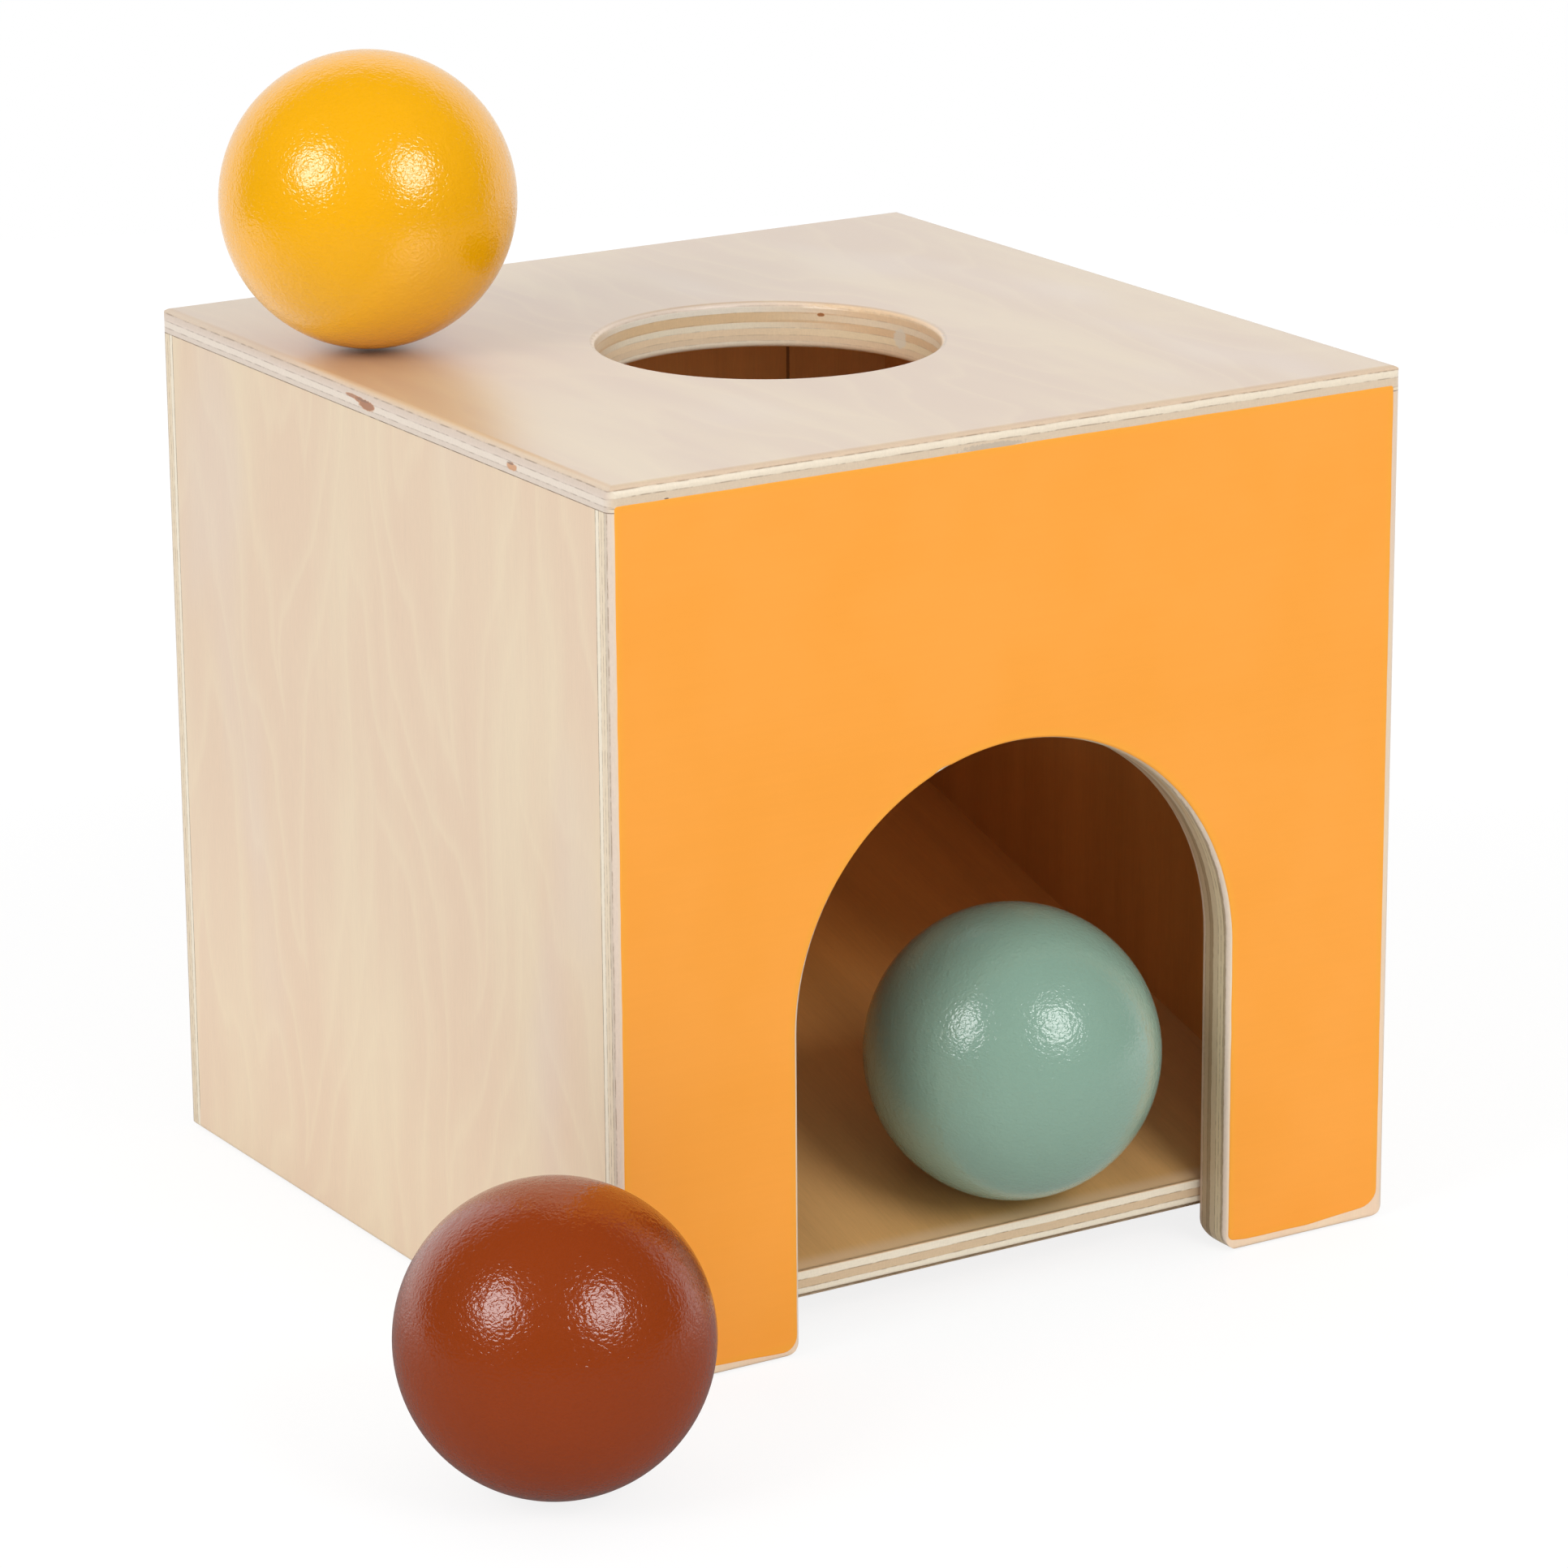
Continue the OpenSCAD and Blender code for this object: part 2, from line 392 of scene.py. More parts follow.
WALL = {
    "grain": (0, 0, 1),
    "along": WALL_ALONG,
    "across": WALL_ACROSS,
    "pale": FACE_PALE,
    "pink": FACE_PINK,
    "inside": WALL_INSIDE,
    # painted light at the foot of the walls
    "foot": 1.1,
    "varnish": 0.0,
}
BOARDS = {
    "top_panel": Board(
        outer=(0, 0, BOX_H), inward=(0, 0, -1), grain=(0, 1, 0), along=LID_ALONG, across=LID_ACROSS,
        pale=LID_PALE, pink=LID_PINK, inside=WALL_INSIDE, figure=0.8, foot=1.0, seed=11.0, gloss=0.5,
        varnish=1.0,
    ),
    "front_panel": Board(outer=(0, 0, 0), inward=(0, 1, 0), figure=0.6, seed=23.0, gloss=0.4, **WALL),
    "back_panel": Board(outer=(0, BOX_D, 0), inward=(0, -1, 0), figure=0.9, seed=37.0, gloss=0.2, **WALL),
    "left_panel": Board(outer=(0, 0, 0), inward=(1, 0, 0), figure=1.0, seed=41.0, gloss=0.4, **WALL),
    "right_panel": Board(outer=(BOX_W, 0, 0), inward=(-1, 0, 0), figure=0.8, seed=59.0, gloss=0.15, **WALL),
    "ramp_panel": Board(
        outer=tuple(RAMP_TOP), inward=INTO_RAMP, grain=UP_RAMP, along=RAMP_PLIES, across=RAMP_PLIES,
        pale=None, pink=None, inside=RAMP_INSIDE, figure=0.0, foot=1.0, seed=67.0, gloss=0.1, varnish=0.0,
    ),
}

# The roughness of the varnish and of the wood, what the relief adds to that, and the relief's bump
VARNISH_ROUGHNESS = 0.34
WOOD_ROUGHNESS = 0.3
RELIEF_ROUGHNESS = 0.16
RELIEF_STRENGTH = 0.35
RELIEF_M = 0.00004

# A noise drawn out along a board's face grain: its length and width in millimetres, an offset that keeps it
# apart from the board's others, detail and roughness, and its thickness where it changes with depth. The
# fibres and hairs make up the relief of a face
Grain = namedtuple("Grain", "length width offset detail roughness thickness", defaults=(None,))
FIBRE = Grain(16.0, 0.5, 5.0, 3.0, 0.65)
HAIR = Grain(2.4, 0.22, 9.0, 1.0, 0.5)
FIBRE_SHARE = 0.6

# The flame figure of the face veneers, in millimetres: the width of a flame, the step between its rings, how
# steep and how round its tip is, and how far noise shifts it sideways and, in steps, bends its rings
FLAME_W = 52.0
FLAME_STEP = 36.0
FLAME_STEEPNESS = 4.2
FLAME_TIP_R = 2.0
FLAME_SHIFT = 50.0
FLAME_BEND = 1.2
DRIFT = Grain(80.0, 34.0, 0.0, 2.0, 0.5)
BEND = Grain(110.0, 13.0, 3.0, 2.0, 0.5)

# How pale a flame's ring is over its step, how much of that goes into the colour and into the brightness, and
# the brightness of the face without it
RING_STOPS = ((0.0, 1.0), (0.16, 0.45), (0.5, 0.05), (0.85, 0.2), (0.97, 1.0))
RING_TINT = 0.48
RING_SHADE = 0.01
FACE_SHADE = 0.997

# Pinker patches, greyer places, how far the fibres and hairs shade the wood, and the height in millimetres
# under which painted light makes a wall paler
PATCH = Grain(120.0, 22.0, 21.0, 3.0, 0.6)
PATCH_BAND = (0.3, 0.6, 0.15, 1.0)
GREY_PLACE = Grain(80.0, 34.0, 7.0, 2.0, 0.5)
GREY_BAND = (0.56, 0.74, 0.0, 0.4)
FIBRE_SHADE = 0.06
HAIR_SHADE = 0.07
FOOT_PAINTED_LIGHT_H = 80.0

# The cut plies: how their borders wander, how they change between the two kinds of cut, their fine streaks
# and specks, and the glue lines between them, which come and go
WANDER = Grain(17.0, 17.0, 0.0, 2.0, 0.5)
WANDER_DEPTH = 0.3
CUT_TURN = (0.25, 0.75)
STREAK = Grain(1.3, 1.3, 0.0, 2.0, 0.6, 0.16)
STREAK_SHADE = 0.12
SPECK = Pattern((3.2, 3.2, 1.4), 2.0, 0.6)
SPECK_SHADE = 0.16
GLUE_HALF = 0.13
GLUE_BREAK = Grain(2.6, 2.6, 0.0, 3.0, 0.7, 1.0)
GLUE_BAND = (0.4, 0.6, 0.1, 0.75)

# Depths in millimetres from the outer and the inner face, between which the cut plies' colours give way to
# the face's, and how squarely a surface must look inwards to count as the inner face
OUTER_SKIN = (0.3, 0.05)
INNER_SKIN = (0.3, 0.1)
LOOKS_IN = (0.6, 0.9)

# The inner faces: broad streaks, and fibres that show more than outside
INNER_STREAK = Grain(90.0, 12.0, 0.0, 2.0, 0.5)
INNER_BAND = (0.3, 0.7, 0.92, 1.08)
INNER_RELIEF = 0.3

# The ramp's upper face is worn pale at its front edge: millimetres behind that, and how much
WORN_FROM = 3.6
WORN_TO = 1.0
WORN_MOST = 0.7

# Dark lines where a wall meets the boards that lap it. They are uneven, and end above the rounded feet
LAPPED_ABOVE = ("front_panel", "back_panel", "left_panel", "right_panel")
LAPPED_BESIDE = ("left_panel", "right_panel")
JOINT_HALF = 0.2
JOINT_CORE = 0.06
JOINT_FOOT = (2.5, 4.5)
JOINT_WOBBLE = Pattern((0.35, 0.35, 0.35), 3.0, 0.7)
JOINT_BAND = (0.3, 0.6, 0.45, 0.95)

# Marks in the boards: place and half sizes in millimetres, raggedness, strength, and colours at the rim and
# in the middle
Mark = namedtuple("Mark", "centre radii ragged strength rim heart")
MARKS = {
    "top_panel": (
        Mark((0.0, 76.8, 136.35), (2.0, 2.5, 0.34), 0.25, 0.9, KNOT, KNOT_HEART),
        Mark((0.0, 74.6, 136.15), (2.0, 1.8, 0.5), 0.25, 0.95, KNOT, KNOT_HEART),
        Mark((0.0, 72.3, 135.7), (2.0, 2.8, 0.85), 0.3, 1.0, KNOT, KNOT_HEART),
        Mark((0.0, 73.6, 136.25), (2.0, 2.2, 0.2), 0.3, 0.45, CRACK, CRACK),
        Mark((0.0, 27.8, 135.45), (2.0, 1.7, 0.66), 0.35, 0.85, KNOT, KNOT),
        Mark((0.0, 28.2, 135.85), (2.0, 1.1, 0.22), 0.3, 0.6, CRACK, CRACK),
        Mark((9.55, 0.0, 135.2), (0.45, 2.0, 0.12), 0.2, 0.8, CRACK, CRACK),
        Mark((89.6, 86.45, 136.1), (0.5, 1.0, 0.34), 0.3, 0.9, KNOT, KNOT_HEART),
        Mark((95.7, 72.6, 134.0), (1.6, 1.6, 1.75), 0.3, 0.8, WHITE_PLY, WHITE_PLY),
        Mark((65.0, 0.0, 135.4), (6.0, 2.0, 0.6), 0.8, 0.45, SMUDGE, SMUDGE),
    ),
    "front_panel": (
        Mark((56.0, 0.1, 87.7), (0.7, 0.8, 0.6), 0.2, 0.9, WHITE_PLY, WHITE_PLY),
    ),
    "back_panel": (
        # A thin dark upright line on the inner face of the back board
        Mark((113.0, 134.5, 112.0), (0.35, 2.0, 30.0), 0.2, 0.7, CRACK, CRACK),
    ),
}
MARK_RAGGED = Pattern((1.6, 1.6, 1.6), 3.0, 0.6)
MARK_EDGE = (1.05, 0.75)
MARK_HEART = (0.6, 1.0)

# A point of a board: its place, the surface's direction there, its depth under the outer face, and its
# places along and across the face grain, all as sockets, and the seed of its board's noise
Point = namedtuple("Point", "place normal depth u v seed")


def side_of(board):
    """The direction across a board's face grain, in its face."""
    return Vector(board.inward).cross(Vector(board.grain))


def point_of(sh, board):
    place = sh.place()
    normal = sh.node("TexCoord").outputs["Normal"]
    depth = sh.dot(sh.vector_math("SUBTRACT", place, board.outer), board.inward)
    return Point(place, normal, depth, sh.dot(place, board.grain), sh.dot(place, side_of(board)), board.seed)


def grained(sh, at, grain):
    """The value of a noise that is drawn out along the face grain."""
    along = sh.math("DIVIDE", at.u, grain.length)
    across = sh.math("DIVIDE", at.v, grain.width)
    third = at.seed + grain.offset
    if grain.thickness:
        third = sh.math("DIVIDE", at.depth, grain.thickness)
    return sh.noise(sh.combine(along, across, third), grain.detail, grain.roughness)


def flame_rings(sh, at):
    """Nested pointed arches, whose outlines are pale on their upper side."""
    shifted = sh.math("MULTIPLY_ADD", grained(sh, at, DRIFT), FLAME_SHIFT, at.v)
    off_middle = sh.math("PINGPONG", shifted, FLAME_W / 2)
    rounded_tip = sh.vector_math("LENGTH", sh.combine(off_middle, FLAME_TIP_R, 0.0))
    rise = sh.math("MULTIPLY_ADD", rounded_tip, FLAME_STEEPNESS, at.u)
    steps = sh.math("DIVIDE", rise, FLAME_STEP)
    bent = sh.math("MULTIPLY_ADD", grained(sh, at, BEND), FLAME_BEND, steps)
    return sh.ramp(sh.math("FRACT", bent), RING_STOPS)


def veneer(sh, at, fibre, hair, board):
    """The colour of an outer face, with painted light that makes a wall paler towards its foot."""
    ring = flame_rings(sh, at)
    patch = sh.band(grained(sh, at, PATCH), *PATCH_BAND)
    grey = sh.band(grained(sh, at, GREY_PLACE), *GREY_BAND)
    colour = sh.mix(patch, board.pale, board.pink)
    colour = sh.mix(sh.math("MULTIPLY", ring, RING_TINT * board.figure), colour, board.pale)
    colour = sh.mix(grey, colour, FACE_GREY)
    shade = sh.math("MULTIPLY_ADD", ring, RING_SHADE * board.figure, FACE_SHADE)
    shade = sh.varied(shade, fibre, FIBRE_SHADE)
    shade = sh.varied(shade, hair, HAIR_SHADE)
    colour = sh.scaled(colour, shade)
    # Painted light: a wall is brightened towards its foot
    return sh.scaled(colour, sh.band(at.u, FOOT_PAINTED_LIGHT_H, 0.0, 1.0, board.foot))


def inner_face(sh, at, relief, board):
    """The colour of an inner face, with painted shade that deepens away from the openings, and broad streaks.
    """
    (low_z, low_colour), (high_z, high_colour) = board.inside
    height = sh.band(sh.parts(at.place)["Z"], low_z, high_z)
    colour = sh.mix(height, low_colour, high_colour)
    shade = sh.band(grained(sh, at, INNER_STREAK), *INNER_BAND)
    return sh.scaled(colour, sh.varied(shade, relief, INNER_RELIEF))


def on_inside(sh, at, board):
    """1 on the board's inner face."""
    thickness = board.along[-1][0]
    start, end = (thickness - skin for skin in INNER_SKIN)
    looks_in = sh.band(sh.dot(at.normal, board.inward), *LOOKS_IN)
    return sh.math("MULTIPLY", looks_in, sh.band(at.depth, start, end))


def worn_ramp(sh, place, inside):
    """The ramp's upper face, worn pale at its front edge."""
    worn = sh.band(sh.parts(place)["Y"], RAMP_FRONT_Y + WORN_FROM, RAMP_FRONT_Y + WORN_TO, 0.0, WORN_MOST)
    return sh.mix(worn, inside, RAMP_WORN)


def ply_bands(sh, depth, plies):
    """The colour of the ply at a depth from the outer face."""
    thickness = plies[-1][0]
    starts = [0.0] + [end for end, _ in plies[:-1]]
    stops = [(start / thickness, colour) for start, (_, colour) in zip(starts, plies)]
    return sh.ramp(sh.math("DIVIDE", depth, thickness), stops, "CONSTANT")


def glue_lines(sh, depth, plies):
    """1 on the thin glue lines between the plies, and 0 elsewhere."""
    thickness = plies[-1][0]
    stops = []
    for end, _ in plies[:-1]:
        for offset, strength in ((-GLUE_HALF, 0.0), (0.0, 1.0), (GLUE_HALF, 0.0)):
            stops.append(((end + offset) / thickness, strength))
    return sh.ramp(sh.math("DIVIDE", depth, thickness), stops)


def in_opening(sh, place, name):
    """1 around the opening in the lid or the front, and 0 at the board's outer edges."""
    x, y, _ = sh.parts(place)
    gaps = [x, sh.math("SUBTRACT", BOX_W, x)]
    if name == "top_panel":
        gaps += [y, sh.math("SUBTRACT", BOX_D, y)]
    return sh.band(sh.least(*gaps), *OPENING_FROM_EDGE)


def faces_grain(sh, at, board):
    """1 on a cut that faces along the face grain, and 0 on one that faces across it."""
    grain_part = sh.math("ABSOLUTE", sh.dot(at.normal, board.grain))
    side_part = sh.math("ABSOLUTE", sh.dot(at.normal, side_of(board)))
    both = sh.math("ADD", sh.math("ADD", grain_part, side_part), TINY)
    return sh.band(sh.math("DIVIDE", grain_part, both), *CUT_TURN)


def cut_plies(sh, at, board, name):
    """The colour of a cut through the board: plies with fine streaks, and glue lines between them."""
    level = sh.varied(at.depth, grained(sh, at, WANDER), WANDER_DEPTH)
    turn = faces_grain(sh, at, board)
    along = ply_bands(sh, level, board.along)
    across = ply_bands(sh, level, board.across)
    glue = sh.band(grained(sh, at, GLUE_BREAK), *GLUE_BAND)
    if name in OPENINGS:
        opening = OPENINGS[name]
        near = in_opening(sh, at.place, name)
        along = sh.mix(near, along, ply_bands(sh, level, opening.along))
        across = sh.mix(near, across, ply_bands(sh, level, opening.across))
        glue = sh.math("MULTIPLY", glue, sh.band(near, 0.0, 1.0, 1.0, opening.glue))
    shade = sh.varied(1.0, grained(sh, at, STREAK), STREAK_SHADE)
    shade = sh.varied(shade, sh.pattern(at.place, SPECK), SPECK_SHADE)
    colour = sh.scaled(sh.mix(turn, along, across), shade)
    lines = sh.mix(turn, glue_lines(sh, level, board.along), glue_lines(sh, level, board.across))
    return sh.mix(sh.math("MULTIPLY", lines, glue), colour, GLUE)


def spot(sh, place, mark):
    """1 in the middle of an uneven ellipsoid, and 0 outside it."""
    moved = sh.vector_math("SUBTRACT", place, mark.centre)
    moved = sh.vector_math("DIVIDE", moved, mark.radii)
    reach = sh.vector_math("LENGTH", moved)
    return sh.band(sh.varied(reach, sh.pattern(place, MARK_RAGGED), 2 * mark.ragged), *MARK_EDGE)


def marked(sh, colour, place, marks):
    """The colour with a board's knots, dashes and smudges in it."""
    for mark in marks:
        shape = spot(sh, place, mark)
        inside = sh.mix(sh.band(shape, *MARK_HEART), mark.rim, mark.heart)
        colour = sh.mix(sh.math("MULTIPLY", shape, mark.strength), colour, inside)
    return colour


def joint_lines(sh, place, name):
    """1 on the dark lines where this wall meets the boards that lap it."""
    _, y, z = sh.parts(place)
    line = sh.band(z, WALL_H - JOINT_HALF, WALL_H - JOINT_CORE)
    if name in LAPPED_BESIDE:
        for gap in (y, sh.math("SUBTRACT", BOX_D, y)):
            line = sh.math("MAXIMUM", line, sh.band(gap, LIP_T + JOINT_HALF, LIP_T + JOINT_CORE))
    return sh.math("MULTIPLY", line, sh.band(z, *JOINT_FOOT))


def jointed(sh, colour, place, name):
    """The colour with the dark lines of a wall's joints in it."""
    if name not in LAPPED_ABOVE:
        return colour
    strength = sh.band(sh.pattern(place, JOINT_WOBBLE), *JOINT_BAND)
    return sh.mix(sh.math("MULTIPLY", joint_lines(sh, place, name), strength), colour, JOINT)


def plywood(name):
    """The material of one board, worked out through its whole thickness from the place in it."""
    board = BOARDS[name]
    sh = new_material(name + "_ply")
    at = point_of(sh, board)
    fibre = grained(sh, at, FIBRE)
    hair = grained(sh, at, HAIR)
    relief = sh.between(hair, fibre, FIBRE_SHARE)
    inside = inner_face(sh, at, relief, board)
    face = veneer(sh, at, fibre, hair, board) if board.pale else worn_ramp(sh, at.place, inside)
    colour = sh.mix(sh.band(at.depth, *OUTER_SKIN), cut_plies(sh, at, board, name), face)
    colour = sh.mix(on_inside(sh, at, board), colour, inside)
    colour = marked(sh, colour, at.place, MARKS.get(name, ()))
    colour = jointed(sh, colour, at.place, name)
    sh.varnish(board.varnish, VARNISH_ROUGHNESS)
    roughness = sh.math("MULTIPLY_ADD", relief, RELIEF_ROUGHNESS, WOOD_ROUGHNESS)
    return sh.finish(colour, roughness, sh.bump(relief, RELIEF_STRENGTH, RELIEF_M), board.gloss)


# The balls' paint: the material's name, colour, seed and gloss
BALLS = {
    "yellow_ball": ("mustard_paint", MUSTARD, 3.0, 0.95),
    "green_ball": ("sage_paint", SAGE, 17.0, 0.85),
    "brown_ball": ("rust_paint", RUST, 29.0, 0.8),
}

# Its clouds, its orange peel, and the wider swell under that
BALL_CLOUD = Pattern((0.09, 0.09, 0.09))
BALL_CLOUD_SHADE = 0.08
PEEL = Pattern((1.7, 1.7, 2.2), 1.0, 0.5, 0.5)
PEEL_SHADE = 0.05
SWELL = Pattern((0.5, 0.5, 0.35))
SWELL_HEIGHT = 1.2
BALL_ROUGHNESS = 0.12
PEEL_ROUGHNESS = 0.08
PEEL_M = 0.00009


def ball_paint(name, colour, seed, gloss):
    """Satin paint on a turned ball: a fine orange peel over soft, wider unevenness."""
    sh = new_material(name)
    place = sh.place()
    peel = sh.pattern(place, PEEL)
    shade = sh.varied(1.0, sh.pattern(place, BALL_CLOUD, seed), BALL_CLOUD_SHADE)
    shade = sh.varied(shade, peel, PEEL_SHADE)
    height = sh.math("MULTIPLY_ADD", sh.pattern(place, SWELL), SWELL_HEIGHT, peel)
    roughness = sh.math("MULTIPLY_ADD", peel, PEEL_ROUGHNESS, BALL_ROUGHNESS)
    return sh.finish(sh.scaled(colour, shade), roughness, sh.bump(height, 1.0, PEEL_M), gloss)


# The coat, in millimetres on the front face: distances of its border from the box's left and right edges and
# the ground, how far it laps the lid, its corners' roundings, and its distance from the arch at the legs and
# at the crown
COAT_LEFT = 1.0
COAT_RIGHT = 1.7
COAT_FOOT = 1.3
COAT_LAP = 0.85
COAT_OUTER_R = 3.0
COAT_LEFT_LEG_R = 2.3
COAT_RIGHT_LEG_R = 0.9
COAT_TOP_R = 0.5
COAT_LEG_GAP = 0.65
COAT_CROWN_GAP = 0.4

# Its lower border wanders: (x, height)
COAT_FEET = (
    (0.0, 1.7),
    (14.0, 1.6),
    (28.0, 0.95),
    (109.0, 2.0),
    (113.0, 1.5),
    (125.0, 1.4),
    (132.0, 1.9),
    (140.0, 2.3),
)

# Its rings from the border inwards, as (distance from the border, rise over the wood), the distance between
# the points of a ring and their least number in an arc, and how far the border wobbles
COAT_T = 0.08
COAT_RINGS = ((0.0, -0.05), (0.0, 0.02), (0.1, 0.065), (0.3, COAT_T))
COAT_STEP = 1.2
COAT_ARC_STEPS = 6
COAT_WOBBLE = 0.05
COAT_WOBBLE_SCALE = 0.21
COAT_WOBBLE_SEED = 4.0

# A small chip in the coat at the arch
CHIP_AT = (56.25, 87.5)
CHIP_SIZE = 1.2
CHIP_DEPTH = 0.7

# Its paint
COAT_CLOUD = Pattern((0.03, 0.03, 0.03), 3.0, 0.55)
COAT_CLOUD_BAND = (0.35, 0.7)
COAT_GRAIN = Pattern((0.05, 0.05, 1.1), 3.0, 0.6)
COAT_GRAIN_SHADE = 0.03
COAT_GRIT = Pattern((2.2, 2.2, 2.2), 2.0, 0.6)
COAT_GRIT_HEIGHT = 0.5
COAT_THIN_BAND = (1.5, 0.1, 0.0, 0.7)
COAT_JOINT_BAND = (0.25, 0.05)
COAT_JOINT_HEIGHT = -0.5
COAT_ROUGHNESS = 0.43
COAT_GRIT_ROUGHNESS = 0.14
COAT_RELIEF = 0.3
COAT_RELIEF_M = 0.00004
COAT_GLOSS = 0.35

# The arch is measured on the front board's points in the legs, lower than this share of the box's height, and
# on those in the middle, nearer to it than this share of the box's width
LEG_SHARE = 0.25
CROWN_SHARE = 0.03


def arch_size():
    """Half width and crown height of the arch in the front board, measured on its mesh."""
    points = [(v.co - CORNER) / MM for v in frame["nodes"]["front_panel"].data.vertices]
    middle = BOX_W / 2
    half = min(abs(p.x - middle) for p in points if p.z < LEG_SHARE * BOX_H)
    crown = min(p.z for p in points if abs(p.x - middle) < CROWN_SHARE * BOX_W)
    return half, crown


ARCH_HALF, ARCH_CROWN = arch_size()
SPRING_Z = ARCH_CROWN - ARCH_HALF


def coat_gap(sh, x, z):
    """How far a point of the coat lies from the coat's border, in millimetres."""
    off_middle = sh.math("ABSOLUTE", sh.math("SUBTRACT", x, BOX_W / 2))
    above = sh.math("MAXIMUM", sh.math("SUBTRACT", z, SPRING_Z), 0.0)
    reach = sh.vector_math("LENGTH", sh.combine(off_middle, above, 0.0))
    arch = sh.math("SUBTRACT", reach, ARCH_HALF + COAT_LEG_GAP)
    left = sh.math("SUBTRACT", x, COAT_LEFT)
    right = sh.math("SUBTRACT", BOX_W - COAT_RIGHT, x)
    top = sh.math("SUBTRACT", WALL_H + COAT_LAP, z)
    foot = sh.math("SUBTRACT", z, COAT_FOOT)
    return sh.least(arch, left, right, top, foot)


def coat_paint():
    """The front's orange: smooth and almost matt, deeper where its border wore thin."""
    sh = new_material("orange_coat")
    place = sh.place()
    x, _, z = sh.parts(place)
    cloud = sh.band(sh.pattern(place, COAT_CLOUD), *COAT_CLOUD_BAND)
    grain = sh.pattern(place, COAT_GRAIN)
    grit = sh.pattern(place, COAT_GRIT)
    colour = sh.mix(cloud, ORANGE, ORANGE_DEEP)
    colour = sh.mix(sh.band(coat_gap(sh, x, z), *COAT_THIN_BAND), colour, ORANGE_THIN)
    colour = sh.scaled(colour, sh.varied(1.0, grain, COAT_GRAIN_SHADE))
    joint = sh.band(sh.math("ABSOLUTE", sh.math("SUBTRACT", z, WALL_H)), *COAT_JOINT_BAND)
    height = sh.math("MULTIPLY_ADD", grit, COAT_GRIT_HEIGHT, grain)
    height = sh.math("MULTIPLY_ADD", joint, COAT_JOINT_HEIGHT, height)
    roughness = sh.math("MULTIPLY_ADD", grit, COAT_GRIT_ROUGHNESS, COAT_ROUGHNESS)
    return sh.finish(colour, roughness, sh.bump(height, COAT_RELIEF, COAT_RELIEF_M), COAT_GLOSS)


def arc(centre, radius, start, end):
    """Points of an arc in the plane of the front, angles in radians."""
    steps = max(COAT_ARC_STEPS, round(abs(end - start) * radius / COAT_STEP))
    angles = [start + (end - start) * i / steps for i in range(steps + 1)]
    return [Vector((centre[0] + radius * math.cos(a), centre[1] + radius * math.sin(a))) for a in angles]


def arch_border():
    """Points of the coat's border over the arch, from left to right, nearer to its edge at the crown."""
    steps = round(math.pi * ARCH_HALF / COAT_STEP)
    points = []
    for i in range(steps + 1):
        angle = math.pi * (1 - i / steps)
        gap = COAT_LEG_GAP + (COAT_CROWN_GAP - COAT_LEG_GAP) * math.sin(angle)
        reach = ARCH_HALF + gap
        points.append(Vector((BOX_W / 2 + reach * math.cos(angle), SPRING_Z + reach * math.sin(angle))))
    return points


def coat_foot(x):
    """Height of the coat's lower border at x."""
    for (x0, z0), (x1, z1) in zip(COAT_FEET, COAT_FEET[1:]):
        if x <= x1:
            return z0 + (z1 - z0) * (x - x0) / (x1 - x0)
    return COAT_FEET[-1][1]


def coat_outline():
    """The coat's outline on the front, counterclockwise as seen from the front, in x and z."""
    leg_gap = ARCH_HALF + COAT_LEG_GAP
    leg_left, leg_right = BOX_W / 2 - leg_gap, BOX_W / 2 + leg_gap
    left, right, low, high = COAT_LEFT, BOX_W - COAT_RIGHT, COAT_FOOT, WALL_H + COAT_LAP
    out_r, left_r, right_r, top_r = COAT_OUTER_R, COAT_LEFT_LEG_R, COAT_RIGHT_LEG_R, COAT_TOP_R
    quarter = math.pi / 2
    points = []
    points += arc((left + out_r, low + out_r), out_r, -2 * quarter, -quarter)
    points += arc((leg_left - left_r, low + left_r), left_r, -quarter, 0.0)
    points += arch_border()
    points += arc((leg_right + right_r, low + right_r), right_r, -2 * quarter, -quarter)
    points += arc((right - out_r, low + out_r), out_r, -quarter, 0.0)
    points += arc((right - top_r, high - top_r), top_r, 0.0, quarter)
    points += arc((left + top_r, high - top_r), top_r, quarter, 2 * quarter)
    made = spaced(points)
    for point in made:
        fade = max(0.0, 1 - (point.y - low) / (2 * out_r))
        point.y += fade * (coat_foot(point.x) - low)
    return made


def spaced(points):
    """The closed outline with extra points on its long straight runs."""
    made = []
    for here, there in zip(points, points[1:] + points[:1]):
        count = max(1, round((there - here).length / COAT_STEP))
        made += [here.lerp(there, i / count) for i in range(count)]
    return made


def inward_of(points):
    """The direction into the outline at each of its points."""
    count = len(points)
    directions = []
    for i in range(count):
        along = points[(i + 1) % count] - points[i - 1]
        directions.append(Vector((-along.y, along.x)).normalized())
    return directions


def rounded(gap, radius):
    """How far a rounded edge has fallen back at a gap from its border."""
    into = max(0.0, radius - gap)
    return radius - math.sqrt(max(0.0, radius ** 2 - into ** 2))


def face_depth(x, z):
    """How far the front's surface lies behind its flat, near its rounded upright edges and the arch's."""
    above = max(0.0, z - SPRING_Z)
    arch_gap = math.hypot(x - BOX_W / 2, above) - ARCH_HALF
    return rounded(min(x, BOX_W - x), ARRIS_R) + rounded(arch_gap, ARCH_EDGE_R)


